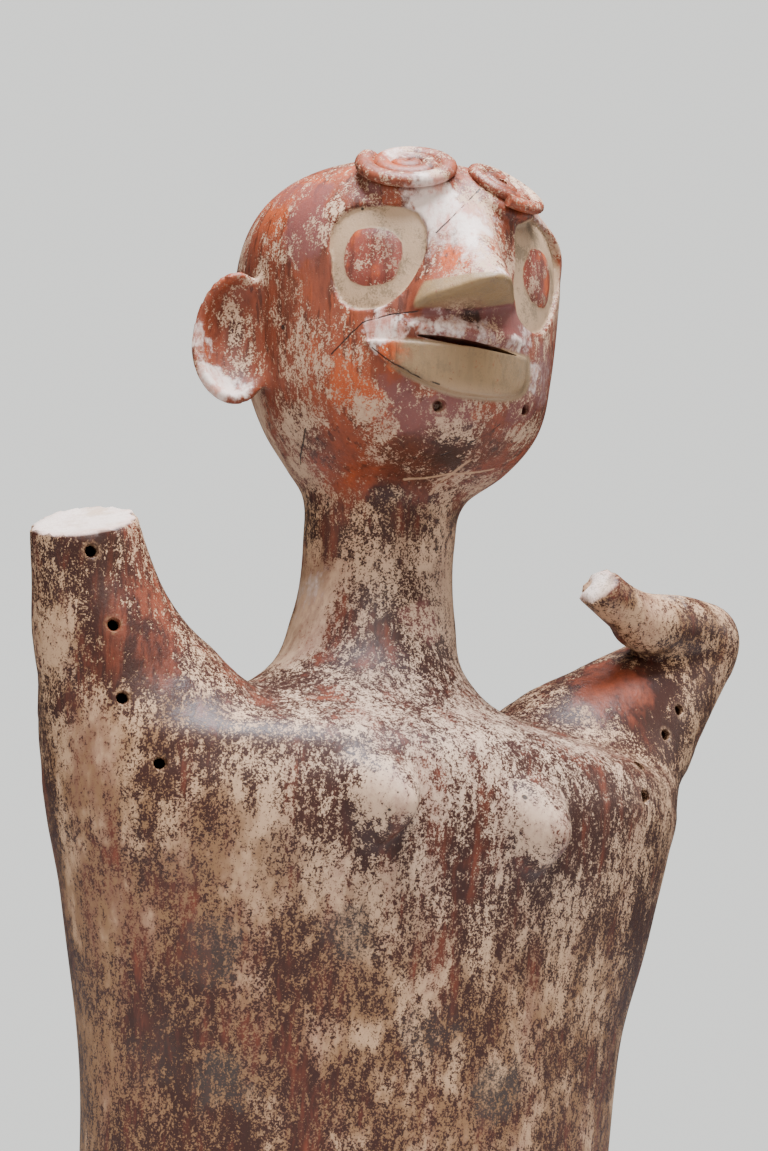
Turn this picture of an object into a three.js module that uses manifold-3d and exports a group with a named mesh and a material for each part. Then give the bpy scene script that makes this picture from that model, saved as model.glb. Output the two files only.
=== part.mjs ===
// Hollow clay vessel in the shape of a standing person. The right arm is raised and broken off flat,
// the left arm is bent back at the elbow and broken near the hand, and two clay coils lie on the brow.
// Millimetres, +Z up. The figure faces -Y, its right side is at -X, and the origin is the middle of the
// flat underside. A bearing is an angle round the figure in degrees: 0 is the front, +90 the left side.
import * as THREE from 'three';
import { ConvexGeometry } from 'three/addons/geometries/ConvexGeometry.js';
import { mergeVertices } from 'three/addons/utils/BufferGeometryUtils.js';
import Module from 'manifold-3d';

const wasm = await Module();
wasm.setup();

// Sections of body, neck and head up to the widest part of the skull:
// height, half width, half depth, shift to the front, shift to the figure's left
const SECTIONS = [
  [0, 122, 82, 0, 0], [5, 129, 87, 0, 0], [14, 135, 90, 0, 0], [60, 143, 92, 0, 0],
  [120, 141, 89, 1, -1], [180, 147, 90, 3, -2], [240, 162, 94, 5, -1], [275, 171, 98, 6, -1],
  [300, 171, 97, 6, 1], [320, 149, 88, 5, -2], [338, 84, 63, 3, -9], [356, 53, 49, 0, -5],
  [385, 42, 42, -2, -1], [425, 39, 39, -2, 0], [447, 42, 43, 2, 0], [460, 54, 60, 11, 0],
  [478, 67, 74, 13, 0], [508, 76, 84, 8, 0], [552, 81, 89, 4, 0],
];
const SKULL = { base: 552, rise: 65, fullness: 2.5 };
const WALL = { body: 9, arm: 8, floor: 12, crown: 9 };
const CROWN_MOUTH = { radius: 22, back: 32 };
const FACE_TURN = -7;

const RIGHT_ARM = {
  path: [
    [-92, 4, 238], [-123, -4, 302], [-142, -8, 342], [-155, -9, 364], [-163, -10, 384], [-173, -14, 412],
  ],
  radii: [48, 54, 41.5, 32, 29, 25.5],
  breakNormal: [-0.33, -0.29, 0.9],
  hollowTo: 0.9,
};
const LEFT_UPPER_ARM = {
  path: [[84, 2, 244], [114, 0, 300], [146, -1, 336], [176, -2, 361], [201, -4, 386]],
  radii: [46, 54, 43, 32, 22],
  hollowTo: 0.82,
};
const ELBOW = { at: [203, -5, 392], radius: 21 };
const LEFT_FOREARM = {
  path: [[204, -8, 393], [178, -18, 396], [152, -27, 397], [143, -29, 398]],
  radii: [21, 18.5, 17, 15.5],
};
const LEFT_HAND = {
  path: [[146, -28.5, 398.5], [126, -33, 405], [109, -36.5, 412.5]],
  radii: [14.5, 12.6, 12],
  breakNormal: [-0.8, -0.3, 0.5],
};

// Each eye is a sunk teardrop with a raised pupil; footShift slants its lower end
const EYE = { depth: 2.6, topWiden: 0.2, pupilRadius: 13.5, pupilRise: 1.5 };
const EYE_PLACES = [
  { bearing: -42, height: 549, halfWidth: 22.5, halfHeight: 26, footShift: -4 },
  { bearing: 28, height: 552, halfWidth: 24, halfHeight: 29, footShift: -11 },
];
const NOSE = {
  bridge: { height: 590, out: 78, halfWidth: 8 },
  tip: { height: 539, out: 120, halfWidth: 6.5, thickness: 4 },
  // across, out and height of the ends of the underside: at its rim, and where it meets the face
  wings: [[-30, 88, 531], [26, 86, 536]],
  roots: [[-23.5, 92, 518], [20.5, 92, 532]],
};
const MUZZLE = { bearing: -10, height: 504, halfWidth: 58, halfHeight: 33, out: 3.5 };
const UPPER_LIP = { bearing: -11, height: 514, halfWidth: 34, halfHeight: 5, out: 7 };
const LOWER_LIP = {
  bearing: -15.5, height: 507, halfWidth: 42, drop: 24, out: 7.5, skew: 0.2, leftPower: 3.2, rightPower: 1.5,
};
const MOUTH_SLIT = { bearing: -9.5, height: 508.5, halfWidth: 26, halfHeight: 1.8, depth: 42 };
const EAR = { halfWidth: 24, halfHeight: 34, depth: 17, rim: 5, height: 515 };
const EAR_PLACES = [{ bearing: -92, out: 13, facing: -28 }, { bearing: 100, out: 12, facing: 62 }];
const COIL = { radius: 26, thickness: 8, turns: 2.6, groove: 1.1, lift: -2.5 };
const COIL_PLACES = [
  { bearing: -31, height: 598, size: 1, leanBack: 4 },
  { bearing: 9, height: 593, size: 0.88, leanBack: 9 },
];
const NIPPLE = { halfWidth: 13, halfHeight: 18, rise: 17, droop: 6 };
const NIPPLE_PLACES = [[-19, 287], [10, 277]];

// Small firing holes: in the arms by place along the limb and bearing, in the body by bearing and height
const HOLE_RADIUS = 2.8;
const RIGHT_ARM_HOLES = [[0.865, -26], [0.56, -23], [0.315, -36]];
const LEFT_ARM_HOLES = [[0.67, -5], [0.525, 8]];
const BODY_HOLES = [[-58, 298], [52, 318], [45, 302], [-20, 477], [24, 484]];

// Sides of the rings and the height between rows, coarser in the hollow
const BODY = { sides: 36, row: 25 };
const HOLLOW = { sides: 18, row: 60, limbSides: 10 };
const LIMB_SIDES = 16;

const sectionCurve = new THREE.CubicInterpolant(
  new Float64Array(SECTIONS.map((row) => row[0])),
  new Float64Array(SECTIONS.flatMap((row) => row.slice(1))),
  4,
);

// Half width, half depth and centre of the outline at a height
function section(z) {
  const over = Math.min(Math.max(z - SKULL.base, 0) / SKULL.rise, 1);
  const keep = (1 - over ** SKULL.fullness) ** (1 / SKULL.fullness);
  const [halfWidth, halfDepth, forward, left] = sectionCurve.evaluate(Math.min(z, SKULL.base));
  return { halfWidth: halfWidth * keep, halfDepth: halfDepth * keep, forward, left };
}

function skinPoint(bearing, z, inset = 0) {
  const angle = THREE.MathUtils.degToRad(bearing);
  const { halfWidth, halfDepth, forward, left } = section(z);
  const x = left + (halfWidth - inset) * Math.sin(angle);
  const y = -forward - (halfDepth - inset) * Math.cos(angle);
  return new THREE.Vector3(x, y, z);
}

// Frame on the skin: local X to the figure's left, local Y up the skin, local Z straight out of it
function skinFrame(bearing, z, lift = 0) {
  const step = 0.5;
  const across = skinPoint(bearing + step, z).sub(skinPoint(bearing - step, z)).normalize();
  const up = skinPoint(bearing, z + step).sub(skinPoint(bearing, z - step));
  const out = new THREE.Vector3().crossVectors(across, up).normalize();
  const along = new THREE.Vector3().crossVectors(out, across);
  const place = skinPoint(bearing, z).addScaledVector(out, lift);
  return new THREE.Matrix4().makeBasis(across, along, out).setPosition(place);
}

// Closed surface through rings of equal length, with a fan over the first and the last ring
function closedSkin(rings) {
  const sides = rings[0].length;
  const middle = (ring) => ring.reduce((sum, p) => sum.add(p), new THREE.Vector3()).divideScalar(sides);
  const points = [...rings.flat(), middle(rings[0]), middle(rings.at(-1))];
  const [firstMiddle, lastMiddle] = [points.length - 2, points.length - 1];
  const lastRow = (rings.length - 1) * sides;
  const index = [];
  for (let j = 0; j < sides; j += 1) {
    const k = (j + 1) % sides;
    for (let row = 0; row < lastRow; row += sides) {
      index.push(row + j, row + k, row + sides + k, row + j, row + sides + k, row + sides + j);
    }
    index.push(firstMiddle, k, j, lastMiddle, lastRow + j, lastRow + k);
  }
  const geometry = new THREE.BufferGeometry().setFromPoints(points);
  geometry.setIndex(index);
  return geometry;
}

function ringOf(sides, pointAt) {
  return Array.from({ length: sides }, (_, j) => pointAt((2 * Math.PI * j) / sides));
}

// Heights of the body's rows, closer together where the outline bends
function rowHeights(coarse) {
  const rows = [];
  for (let i = 1; i < SECTIONS.length; i += 1) {
    const [low, high] = [SECTIONS[i - 1][0], SECTIONS[i][0]];
    const bend = 3 * Math.abs(SECTIONS[i][1] - SECTIONS[i - 1][1]);
    const count = THREE.MathUtils.clamp(Math.round(Math.max(high - low, bend) / coarse), 1, 4);
    for (let k = 0; k < count; k += 1) rows.push(low + ((high - low) * k) / count);
  }
  const domeRows = 9;
  for (let k = 0; k < domeRows; k += 1) {
    rows.push(SKULL.base + SKULL.rise * Math.sin((Math.PI / 2) * (k / domeRows)));
  }
  return rows;
}

function bodySkin({ sides, row }, inset, low, high) {
  const heights = rowHeights(row).filter((z) => z > low + 1 && z < high - 1);
  const rows = [low, ...heights, high];
  return closedSkin(rows.map((z) => ringOf(sides, (angle) => {
    return skinPoint(THREE.MathUtils.radToDeg(angle), z, inset);
  })));
}

// Middle line, thickness and ring directions of a limb at a place from 0 to 1 along it
function limbAt(limb, t) {
  const curve = new THREE.CatmullRomCurve3(limb.path.map((p) => new THREE.Vector3(...p)));
  const last = limb.radii.length - 1;
  const slot = Math.min(Math.floor(t * last), last - 1);
  const radius = THREE.MathUtils.lerp(limb.radii[slot], limb.radii[slot + 1], t * last - slot);
  const along = curve.getTangent(t);
  if (limb.breakNormal) along.lerp(new THREE.Vector3(...limb.breakNormal), t ** 6).normalize();
  const front = new THREE.Vector3(0, -1, 0).addScaledVector(along, along.y).normalize();
  const side = new THREE.Vector3().crossVectors(along, front);
  return { centre: curve.getPoint(t), radius, front, side };
}

function limbSkin(limb, steps, sides, inset = 0, end = 1) {
  const rings = Array.from({ length: steps + 1 }, (_, i) => {
    const { centre, radius, front, side } = limbAt(limb, (end * i) / steps);
    return ringOf(sides, (angle) => centre.clone()
      .addScaledVector(front, (radius - inset) * Math.cos(angle))
      .addScaledVector(side, (radius - inset) * Math.sin(angle)));
  });
  return closedSkin(rings);
}

function ellipsoid(x, y, z, around = 12, rows = 6) {
  return new THREE.SphereGeometry(1, around, rows).rotateX(Math.PI / 2).scale(x, y, z);
}

// Form that follows the curve of the skin round a place. The outline is flat, in millimetres across and up,
// and each level is the share of the outline kept and the distance off the skin.
function skinForm({ bearing, height }, sides, outline, levels) {
  const perDegree = skinPoint(bearing + 0.5, height).distanceTo(skinPoint(bearing - 0.5, height));
  return closedSkin(levels.map(([keep, out]) => ringOf(sides, (angle) => {
    const [across, up] = outline(angle);
    const frame = skinFrame(bearing + (keep * across) / perDegree, height + keep * up);
    return new THREE.Vector3(0, 0, out).applyMatrix4(frame);
  })));
}

// Low rounded swelling, such as the upper lip
function swelling(form, sides) {
  const oval = (angle) => [form.halfWidth * Math.cos(angle), form.halfHeight * Math.sin(angle)];
  const dome = [0.88, 0.66, 0.36, 0.05].map((keep) => [keep, form.out * Math.sqrt(1 - keep ** 2)]);
  return skinForm(form, sides, oval, [[1, -4], [1, 0.2], ...dome]);
}

// Lower lip: a plate with a straight upper edge, square to the figure's left and pointed to its right
function lowerLip() {
  const { halfWidth, drop, out, skew, leftPower, rightPower } = LOWER_LIP;
  const outline = (angle) => {
    const side = Math.sign(Math.cos(angle));
    const power = 2 / (side > 0 ? leftPower : rightPower);
    const up = -drop * Math.max(-Math.sin(angle), 0) ** power;
    return [side * halfWidth * Math.abs(Math.cos(angle)) ** power - skew * up, up];
  };
  const face = [0.93, 0.6, 0.3, 0.05].map((keep) => [keep, out]);
  return skinForm(LOWER_LIP, 20, outline, [[1, -4], [1, out - 2], ...face]);
}

function eyeSocket(eye) {
  const teardrop = (angle) => {
    const up = eye.halfHeight * Math.sin(angle);
    const widen = 1 + EYE.topWiden * Math.sin(angle);
    const shift = eye.footShift * Math.max(-Math.sin(angle), 0);
    return [shift + eye.halfWidth * widen * Math.cos(angle), up];
  };
  return skinForm(eye, 18, teardrop, [[0.05, -EYE.depth], [0.5, -EYE.depth], [1, -EYE.depth], [1.06, 6]]);
}

function pupil(eye) {
  const round = (angle) => [EYE.pupilRadius * Math.cos(angle), EYE.pupilRadius * Math.sin(angle)];
  const top = EYE.pupilRise - EYE.depth;
  return skinForm(eye, 12, round, [[1, -5], [1, top - 0.5], [0.85, top], [0.4, top], [0.05, top]]);
}

function rod(radius, length, sides = 8) {
  return new THREE.CylinderGeometry(radius, radius, length, sides).rotateX(Math.PI / 2);
}

// Ear: a thin oval bowl that opens along local Z
function earBowl() {
  const arc = 5;
  const wallAt = (k, inset) => {
    const angle = (Math.PI / 2) * (k / arc);
    const reach = EAR.halfHeight - inset;
    return new THREE.Vector2(reach * Math.sin(angle), -(EAR.depth - inset) * Math.cos(angle));
  };
  const outer = Array.from({ length: arc + 1 }, (_, k) => wallAt(k, 0));
  const inner = Array.from({ length: arc + 1 }, (_, k) => wallAt(arc - k, EAR.rim));
  const bowl = new THREE.LatheGeometry([...outer, ...inner], 16).rotateX(Math.PI / 2);
  return bowl.scale(EAR.halfWidth / EAR.halfHeight, 1, 1);
}

function earFrame({ bearing, out, facing }) {
  const angle = THREE.MathUtils.degToRad(facing);
  const opening = new THREE.Vector3(Math.sin(angle), -Math.cos(angle), 0);
  const up = new THREE.Vector3(0, 0, 1);
  const across = new THREE.Vector3().crossVectors(up, opening);
  const root = skinPoint(bearing, EAR.height);
  const outward = new THREE.Vector3(Math.sign(bearing), 0, 0);
  return new THREE.Matrix4().makeBasis(across, up, opening).setPosition(root.addScaledVector(outward, out));
}

// Clay rope wound flat: a round pad whose upper side carries the spiral between the turns
function coilPad() {
  const sides = 16;
  const half = COIL.thickness / 2;
  const topSteps = 6;
  const rimRing = (keep, height) => ringOf(sides, (angle) => new THREE.Vector3(
    COIL.radius * keep * Math.cos(angle), COIL.radius * keep * Math.sin(angle), height));
  const topRing = (keep) => ringOf(sides, (angle) => {
    const wave = Math.cos(2 * Math.PI * COIL.turns * keep - angle);
    return new THREE.Vector3(COIL.radius * keep * Math.cos(angle), COIL.radius * keep * Math.sin(angle),
      half + COIL.groove * wave * Math.min(1, 2 * keep));
  });
  const top = Array.from({ length: topSteps }, (_, i) => topRing(0.9 * (1 - (i + 0.3) / topSteps)));
  return closedSkin([rimRing(0.9, -half), rimRing(1, -half / 3), rimRing(1, half / 3), ...top]);
}

// Nose: a broad wedge whose flat underside rises to the tip and hangs lower on the figure's right
function noseWedge() {
  const { bridge, tip, wings, roots } = NOSE;
  const ridge = [-1, 1].flatMap((side) => [
    [side * bridge.halfWidth, -bridge.out, bridge.height],
    [side * bridge.halfWidth, -bridge.out / 2, bridge.height],
    [side * tip.halfWidth, -tip.out, tip.height],
    [side * tip.halfWidth, 1.5 - tip.out, tip.height - tip.thickness],
  ]);
  const sides = [...wings, ...roots].flatMap(([across, out, height]) => [
    [across, -out, height],
    [across, -out / 2, height],
  ]);
  const turn = THREE.MathUtils.degToRad(FACE_TURN);
  return new ConvexGeometry([...ridge, ...sides].map((p) => new THREE.Vector3(...p))).rotateZ(turn);
}

function coilFrame({ bearing, height, size, leanBack }) {
  const lean = new THREE.Matrix4().makeRotationX(-THREE.MathUtils.degToRad(leanBack));
  return skinFrame(bearing, height, COIL.lift).multiply(lean).scale(new THREE.Vector3(size, size, size));
}

// Nipple: a rounded cone whose point hangs low
function nippleCone() {
  const profile = [[0, -6], [1, -6], [1, 0], [0.85, 0.3], [0.68, 0.62], [0.5, 0.86], [0.25, 0.98], [0, 1]];
  const points = profile.map(([r, h]) => new THREE.Vector2(r, h > 0 ? h * NIPPLE.rise : h));
  const hang = new THREE.Matrix4().makeShear(0, 0, 0, 0, 0, -NIPPLE.droop / NIPPLE.rise);
  const cone = new THREE.LatheGeometry(points, 12).rotateX(Math.PI / 2);
  return cone.scale(NIPPLE.halfWidth, NIPPLE.halfHeight, 1).applyMatrix4(hang);
}

// Solid from a closed geometry, with its faces turned outwards
function solid(geometry, matrix = new THREE.Matrix4()) {
  const bare = geometry.clone().applyMatrix4(matrix);
  bare.deleteAttribute('normal');
  bare.deleteAttribute('uv');
  const merged = mergeVertices(bare, 1e-3);
  const position = merged.attributes.position;
  const at = (i) => new THREE.Vector3().fromBufferAttribute(position, i);
  const triangles = [];
  let volume = 0;
  for (let i = 0; i < merged.index.count; i += 3) {
    const [a, b, c] = [0, 1, 2].map((k) => merged.index.getX(i + k));
    if (a === b || b === c || c === a) continue;
    triangles.push([a, b, c]);
    volume += at(a).dot(at(b).cross(at(c)));
  }
  const outward = volume > 0 ? triangles : triangles.map(([a, b, c]) => [a, c, b]);
  return new wasm.Manifold(new wasm.Mesh({
    numProp: 3,
    vertProperties: new Float32Array(position.array),
    triVerts: new Uint32Array(outward.flat()),
  }));
}

function joined(solids) {
  return solids.reduce((sum, next) => sum.add(next));
}

function geometryOf(shape) {
  const { vertProperties, triVerts } = shape.getMesh();
  const geometry = new THREE.BufferGeometry();
  geometry.setAttribute('position', new THREE.BufferAttribute(vertProperties, 3));
  geometry.setIndex(new THREE.BufferAttribute(triVerts, 1));
  geometry.computeVertexNormals();
  return geometry;
}

function outerForm() {
  const top = SKULL.base + SKULL.rise - 0.5;
  const form = joined([
    solid(bodySkin(BODY, 0, 0, top)),
    solid(limbSkin(RIGHT_ARM, 10, LIMB_SIDES)),
    solid(limbSkin(LEFT_UPPER_ARM, 9, LIMB_SIDES)),
    solid(new THREE.SphereGeometry(ELBOW.radius, 14, 8).translate(...ELBOW.at)),
    solid(limbSkin(LEFT_FOREARM, 6, 12)),
    solid(limbSkin(LEFT_HAND, 4, 12)),
    solid(noseWedge()),
    solid(swelling(MUZZLE, 14)),
    solid(swelling(UPPER_LIP, 12)),
    solid(lowerLip()),
    ...EAR_PLACES.map((place) => solid(earBowl(), earFrame(place))),
    ...NIPPLE_PLACES.map(([bearing, z]) => solid(nippleCone(), skinFrame(bearing, z))),
  ]);
  const sockets = joined(EYE_PLACES.map((eye) => solid(eyeSocket(eye))));
  const pupils = EYE_PLACES.map((eye) => solid(pupil(eye)));
  const coils = COIL_PLACES.map((place) => solid(coilPad(), coilFrame(place)));
  return joined([form.subtract(sockets), ...pupils, ...coils]);
}

function hollow() {
  const top = SKULL.base + SKULL.rise - WALL.crown - 4;
  const mouth = rod(CROWN_MOUTH.radius, 80, 20).translate(0, CROWN_MOUTH.back, SKULL.base + SKULL.rise);
  return joined([
    solid(bodySkin(HOLLOW, WALL.body, WALL.floor, top)),
    solid(limbSkin(RIGHT_ARM, 6, HOLLOW.limbSides, WALL.arm, RIGHT_ARM.hollowTo)),
    solid(limbSkin(LEFT_UPPER_ARM, 5, HOLLOW.limbSides, WALL.arm, LEFT_UPPER_ARM.hollowTo)),
    solid(mouth),
  ]);
}

function holeThroughLimb(limb, [t, bearing]) {
  const angle = THREE.MathUtils.degToRad(bearing);
  const { centre, radius } = limbAt(limb, t);
  const out = new THREE.Vector3(Math.sin(angle), -Math.cos(angle), 0);
  const turn = new THREE.Quaternion().setFromUnitVectors(new THREE.Vector3(0, 0, 1), out);
  const place = centre.addScaledVector(out, radius - WALL.arm / 2);
  const frame = new THREE.Matrix4().makeRotationFromQuaternion(turn).setPosition(place);
  return solid(rod(HOLE_RADIUS, 4 * WALL.arm), frame);
}

function holes() {
  const slit = ellipsoid(MOUTH_SLIT.halfWidth, MOUTH_SLIT.halfHeight, MOUTH_SLIT.depth);
  return joined([
    solid(slit, skinFrame(MOUTH_SLIT.bearing, MOUTH_SLIT.height)),
    ...RIGHT_ARM_HOLES.map((hole) => holeThroughLimb(RIGHT_ARM, hole)),
    ...LEFT_ARM_HOLES.map((hole) => holeThroughLimb(LEFT_UPPER_ARM, hole)),
    ...BODY_HOLES.map(([bearing, z]) => solid(rod(HOLE_RADIUS, 6 * WALL.body), skinFrame(bearing, z))),
  ]);
}

const firedClay = new THREE.MeshStandardMaterial({ color: 0xa0674f, roughness: 0.55, metalness: 0 });
const vessel = new THREE.Mesh(geometryOf(outerForm().subtract(hollow()).subtract(holes())), firedClay);
vessel.name = 'vessel';

const group = new THREE.Group();
group.add(vessel);
export default group;
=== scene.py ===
import math
import bmesh
import bpy
import numpy as np
from mathutils import Matrix, Vector


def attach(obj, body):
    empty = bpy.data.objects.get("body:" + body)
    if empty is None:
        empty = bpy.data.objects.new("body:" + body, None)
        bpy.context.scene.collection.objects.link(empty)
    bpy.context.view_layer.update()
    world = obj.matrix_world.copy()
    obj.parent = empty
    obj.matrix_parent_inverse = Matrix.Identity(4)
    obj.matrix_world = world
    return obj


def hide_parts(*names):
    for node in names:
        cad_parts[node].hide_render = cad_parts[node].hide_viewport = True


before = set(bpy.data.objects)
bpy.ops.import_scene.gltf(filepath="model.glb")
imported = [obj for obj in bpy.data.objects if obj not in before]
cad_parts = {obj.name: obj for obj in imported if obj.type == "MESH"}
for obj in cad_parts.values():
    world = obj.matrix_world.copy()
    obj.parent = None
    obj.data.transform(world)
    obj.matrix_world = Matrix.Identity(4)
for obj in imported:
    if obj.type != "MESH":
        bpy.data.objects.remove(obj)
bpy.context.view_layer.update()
mm = 0.001  # the shape below is in millimetres, Blender's meshes are in metres
print("frame loaded:", ", ".join(sorted(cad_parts)))

# The figure faces -Y; a bearing is degrees round it, 0 at the front and +90 on its left side
vessel = {
    "sections": [  # height, half width, half depth, shift to the front, shift to the left
        (0, 122, 82, 0, 0), (5, 129, 87, 0, 0), (14, 135, 90, 0, 0), (60, 143, 92, 0, 0),
        (120, 141, 89, 1, -1), (180, 147, 90, 3, -2), (240, 162, 94, 5, -1), (275, 170.1, 98, 6, -1),
        (300, 172.7, 97, 6, 1), (320, 162.8, 88, 5, -2), (338, 84, 63, 3, -9), (356, 53, 49, 0, -5),
        (385, 42, 42, -2, -1), (425, 39, 39, -2, 0), (447, 42, 43, 2, 0), (460, 54, 60, 11, 0),
        (478, 67, 74, 13, 0), (508, 76, 84, 8, 0), (552, 81, 89, 4, 0)],
    "skull": {"base": 552, "rise": 65, "fullness": 2.5},
    "wall": {"body": 9, "arm": 8, "floor": 12, "armBlend": 12, "floorBlend": 6, "cell": 8.0},
    "crownMouth": {"radius": 22, "back": 32, "from": 576, "lip": 5, "box": ((-40, -10, 560), (40, 75, 660))},
    "faceTurn": -7,
    "handUnevenness": 0.6,
    "breakEdge": 1.2,
    "footEdge": 2.5,
    "footFlat": 0.35,
    "sharpAngle": 48,
    "cells": {"across": 101, "deep": 97, "bodyHigh": 5.0, "headHigh": 2.1},
    "grid": {"bodyMiddle": 16, "bodyHalf": 219, "headMiddle": -5, "headHalf": 119, "narrowFrom": 428,
             "narrowTo": 472, "yFrom": -127, "yTo": 98, "top": 624},
    "hollowBox": ((-205, -100, 4), (215, 92, 616)),
    "fineFace": {"front": -46, "half": 80, "from": 479, "to": 590,  # where the cells are halved
                 "box": ((-95, -140, 472), (95, -15, 606))},
    "markBox": ((-70, -130, 470), (60, -60, 550)),  # holds the nose's underside and the lower lip
}
rightArm = {
    "path": [
        (-92, 4, 238), (-120, -4, 304.5), (-143.3, -8, 339.5),
        (-156, -9, 363), (-163, -10, 384), (-173, -14, 412)],
    "radii": [42, 51.7, 40.3, 34, 29.5, 25.5],
    "breakNormal": (-0.33, -0.29, 0.9), "ragged": 0.15, "blend": 15.6, "hollowTo": 0.72,
    "box": ((-240, -110, 180), (-20, 110, 440)),
}
leftUpperArm = {
    "path": [(84, 2, 244), (112.4, 0, 303.5), (149, -1, 338), (174.5, -2, 362), (201, -4, 386)],
    "radii": [40, 52.2, 42, 32, 22], "blend": 15.6, "hollowTo": 0.7,
    "box": ((10, -110, 180), (260, 110, 440)),
}
elbow = {"at": (201.5, -5, 395.5), "radius": 19.5, "blend": 10}
leftForearm = {"path": [(202.5, -8, 396.5), (178, -18, 398.5), (152, -27, 397.5), (143, -29, 398)],
               "radii": [20.5, 18.5, 17, 15.5], "blend": 4}
leftHand = {"path": [(146, -28.5, 398.5), (126, -33, 405), (109, -36.5, 412.5)], "radii": [14.5, 12.6, 12],
            "breakNormal": (-0.8, -0.3, 0.5), "ragged": 1.8, "blend": 2.5}
eyes = {"depth": 2.6, "edge": 1.4, "floorEdge": 1.0, "topWiden": 0.2, "squareness": 2.5, "pupilHalf": 14,
        "pupilRise": 1.5, "pupilReach": 1.25, "pupilShift": -2,
        "whiteEdge": (1.08, 0.98), "whiteWobble": 0.3, "irisEdge": (1.1, 0.94), "irisWobble": 0.9,
        "paintDepth": (-22, -18), "reach": 50,
        "places": [  # bearing, height, half width, half height, shift of the lower end
            (-42, 549, 22.5, 26, -4), (28, 552, 24, 29, -11)]}
nose = {"bridge": (8, -78, 590), "tip": (6.5, -118.8, 539), "under": (0, -117.3, 535.5),
        "nearWing": (-28, -90, 537), "farWing": (24, -88, 536), "wingEnds": (-30, 27),
        "nearRoot": (-23, -94, 525), "farRoot": (20.5, -94, 530.5),
        "back": -72, "edge": 7, "scoop": -2, "scoopAt": -4, "scoopHalf": 22,
        "box": ((-90, -150, 490), (90, -30, 640)), "skin": 2.2, "clear": 4.5, "fade": 1.5,
        "blend": [(530, 3), (562, 10)],  # height and softness of the join to the face
        "bareBelow": [(-120, 537.5), (-88, 535)]}  # depth and height of the edge of its bare underside
swellings = {"depth": 40, "reach": 90, "places": [  # bearing, height, half width, half height, out
    (-10, 503, 72, 42, 4.0), (46, 574, 26, 18, 2.5)]}  # the mouth and the far brow
upperLip = {"bearing": -11, "height": 514, "halfWidth": 34, "halfHeight": 5, "out": 7, "blend": 4}
lowerLip = {"bearing": -15.5, "top": 507, "halfWidth": 42, "drop": 24, "out": 7.5, "edge": 1.6, "blend": 1.2,
            "leftPower": 3.2, "rightPower": 1.5, "skew": 0.2,  # square to its left, pointed to its right
            "topEdge": 1.5, "thinner": 0.45, "slope": 0.05, "skin": 1.6}
mouthSlit = {"bearing": -9.5, "height": 508, "halfWidth": 26, "halfHeight": 1.6, "depth": 42, "tilt": -3.5}
ears = {"halfWidth": 24, "halfHeight": 34, "depth": 17, "rim": 6.0, "height": 515, "blend": 6,
        "edge": 3, "intoCheek": 0.5, "reach": 65,
        "places": [(-92, 13, -28), (100, 12, 62)]}  # bearing of the root, distance out, way it opens
breasts = {"halfWidth": 15, "halfHeight": 18, "rise": 17.7, "droop": 2.5, "taper": 0.3, "blend": 4,
           "taperRange": (0.6, 1.4), "pinch": 0.5, "foot": 1.2, "pinchRange": (0.5, 1.3), "reach": 45,
           "places": [(-19, 287, 9), (10, 280, 4)]}  # bearing, height, lean to the left
coils = {"lift": 1.6, "ropeRadius": 5.0, "flatten": 0.7, "turns": 2.6, "innerRadius": 1.0,
         "outerRadius": 23.0, "ropeSides": 14, "stepsInTurn": 40, "taperFrom": 0.8, "taperTo": 0.05,
         "padOver": 1, "padSunk": 6.0, "padDepth": 7.25, "padBlend": 3, "reach": 40,
         "places": [(-31, 598, 9, 1.0, 4), (9, 593, 99, 0.88, 9)]}  # bearing, height, start, size, lean
firingHoles = {
    "chamfer": 1.2, "sides": 20, "inward": 26, "rimOut": 0.4, "outward": 8,
    "forward": (-0.3, -1.1, -0.05),  # pushed in partly from the front
    "places": [  # x, y, z, radius: right arm, left arm, chin
        (-178, -37, 393, 2.7), (-166, -40, 360, 2.7), (-162, -45, 327, 2.7), (-148, -58, 298, 2.7),
        (164, -36, 352, 2.6), (152.5, -42, 338, 2.6), (117, -66, 317, 3.4), (112, -79, 302, 3.4),
        (-23, -84, 477, 2.7), (29, -83, 484, 2.7)],
}


def cubicThrough(stops, values, at):
    stops = np.asarray(stops, float)
    values = np.asarray(values, float).reshape(len(stops), -1)
    steps = np.diff(stops)[:, None]
    slopes = np.diff(values, axis=0) / steps
    tangents = np.vstack([slopes[:1], (slopes[:-1] + slopes[1:]) / 2, slopes[-1:]])
    i = np.clip(np.searchsorted(stops, at, side="right") - 1, 0, len(stops) - 2)
    h = steps[i]
    t = (np.asarray(at, float) - stops[i])[:, None] / h
    return (values[i] * (1 + 2 * t) * (1 - t) ** 2 + tangents[i] * h * t * (1 - t) ** 2
            + values[i + 1] * t * t * (3 - 2 * t) + tangents[i + 1] * h * t * t * (t - 1))


tableStep = 0.5
tableHeights = np.arange(0, vessel["skull"]["base"] + tableStep / 2, tableStep)
tableRows = cubicThrough(
    [s[0] for s in vessel["sections"]], [s[1:] for s in vessel["sections"]], tableHeights)
tableSlopes = np.gradient(tableRows, tableStep, axis=0)


def unit(v):
    v = np.asarray(v, float)
    return v / np.linalg.norm(v)


def smoothMin(a, b, k):
    h = np.maximum(k - np.abs(a - b), 0) / k
    return np.minimum(a, b) - h * h * k / 4


def smoothMax(a, b, k):
    return -smoothMin(-a, -b, k)


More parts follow.
